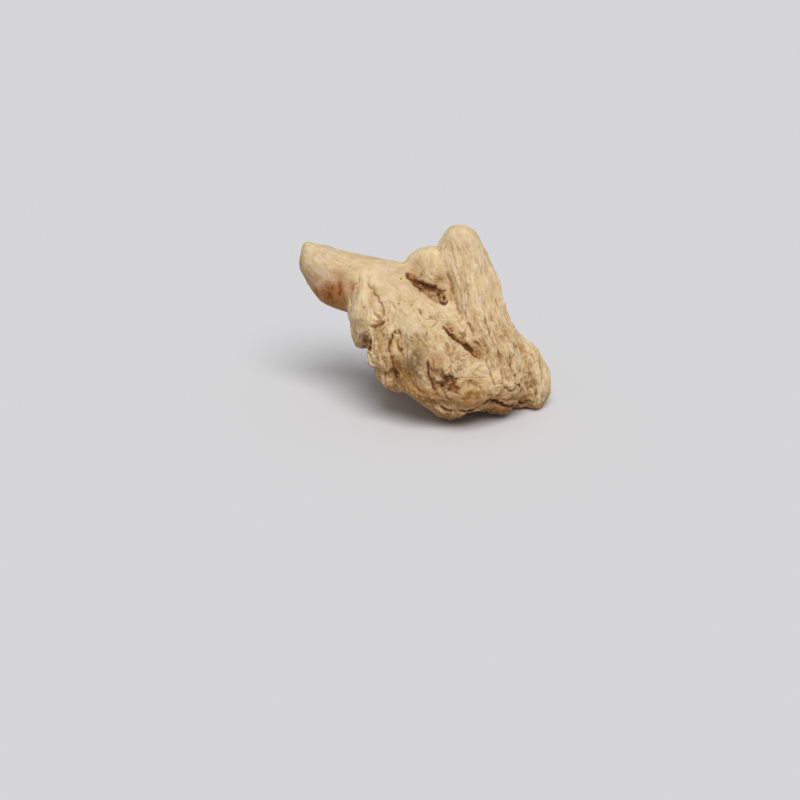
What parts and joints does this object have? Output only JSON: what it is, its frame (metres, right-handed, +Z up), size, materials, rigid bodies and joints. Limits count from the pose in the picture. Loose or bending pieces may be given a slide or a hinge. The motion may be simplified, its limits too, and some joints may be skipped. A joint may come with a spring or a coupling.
{
  "type": "ginger root",
  "caption": "Whole dried ginger rhizome: plump wrinkled lobes, a smooth thumb, bud knobs and crumbly scars, grown as one piece and lying on low points.",
  "frame": {"origin": "on the resting surface, under the middle of the root's box", "axes": "+X to the root's right along its longest extent, from the smooth thumb to the heel; -Y towards its broad wrinkled front; +Z up"},
  "size_m": [0.0706, 0.0434, 0.0504],
  "materials": {
    "ginger_skin": "dry, matt, finely wrinkled peeled skin"
  },
  "bodies": {
    "root": {"ginger_root": "ginger_skin"}
  },
  "joints": []
}
